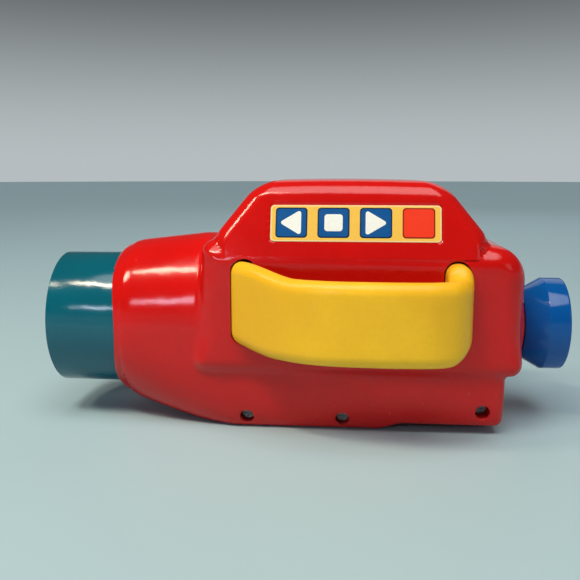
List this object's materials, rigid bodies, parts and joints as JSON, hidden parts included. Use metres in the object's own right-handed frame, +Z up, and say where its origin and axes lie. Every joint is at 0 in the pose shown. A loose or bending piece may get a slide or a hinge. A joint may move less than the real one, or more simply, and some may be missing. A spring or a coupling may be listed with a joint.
{
  "type": "toy video camera",
  "caption": "Child's toy video camera: two-half moulded casing with a turning lens hood, a turning eyepiece cup, a hand strap and a printed button label.",
  "frame": {"origin": "middle of the bottom of the bounding box; the line of sight is 52.75 mm above it, in the plane where the casing halves meet, at y = 15.65 mm", "axes": "+Z up, +X from the lens hood to the eyepiece, -Y towards the side with the hand strap and the label"},
  "size_m": [0.28, 0.1235, 0.132],
  "materials": {
    "casing_red": "glossy moulded plastic, lightly scuffed",
    "hood_teal": "glossy moulded plastic",
    "eyepiece_blue": "glossy moulded plastic",
    "strap_yellow": "soft satin plastic with small scuffs",
    "label_yellow": "printed vinyl, satin",
    "label_blue": "printed ink, satin",
    "label_white": "printed ink, satin",
    "label_orange": "printed ink, satin",
    "clear_plastic": "clear polished polystyrene",
    "inner_dark": "dark matt moulded plastic",
    "nylon_white": "natural nylon",
    "steel": "zinc-plated steel"
  },
  "bodies": {
    "casing": {"near_shell": "casing_red", "far_shell": "casing_red", "sight_cone": "inner_dark", "click_spring": "steel", "click_screw": "steel", "hand_strap": "strap_yellow", "strap_screw_front": "steel", "strap_screw_rear": "steel", "button_label": "label_yellow", "casing_screw_front": "steel", "casing_screw_middle": "steel", "casing_screw_rear": "steel", "label_screw_front": "steel", "label_screw_rear": "steel"},
    "hood": {"lens_hood": "hood_teal", "prism_lens": "clear_plastic", "prism_retainer": "inner_dark", "click_ring": "nylon_white"},
    "eyepiece": {"eyepiece_cup": "eyepiece_blue", "eyepiece_lens": "clear_plastic", "eyepiece_lens_ring": "inner_dark", "eyepiece_lock_ring": "nylon_white"}
  },
  "joints": [
    {"name": "hood_turn", "type": "hinge", "parent": "casing", "child": "hood", "pos_m": [-0.1, 0.01565, 0.05275], "axis": [-1, 0, 0], "continuous": true},
    {"name": "eyepiece_turn", "type": "hinge", "parent": "casing", "child": "eyepiece", "pos_m": [0.12, 0.01565, 0.05275], "axis": [1, 0, 0], "continuous": true}
  ]
}
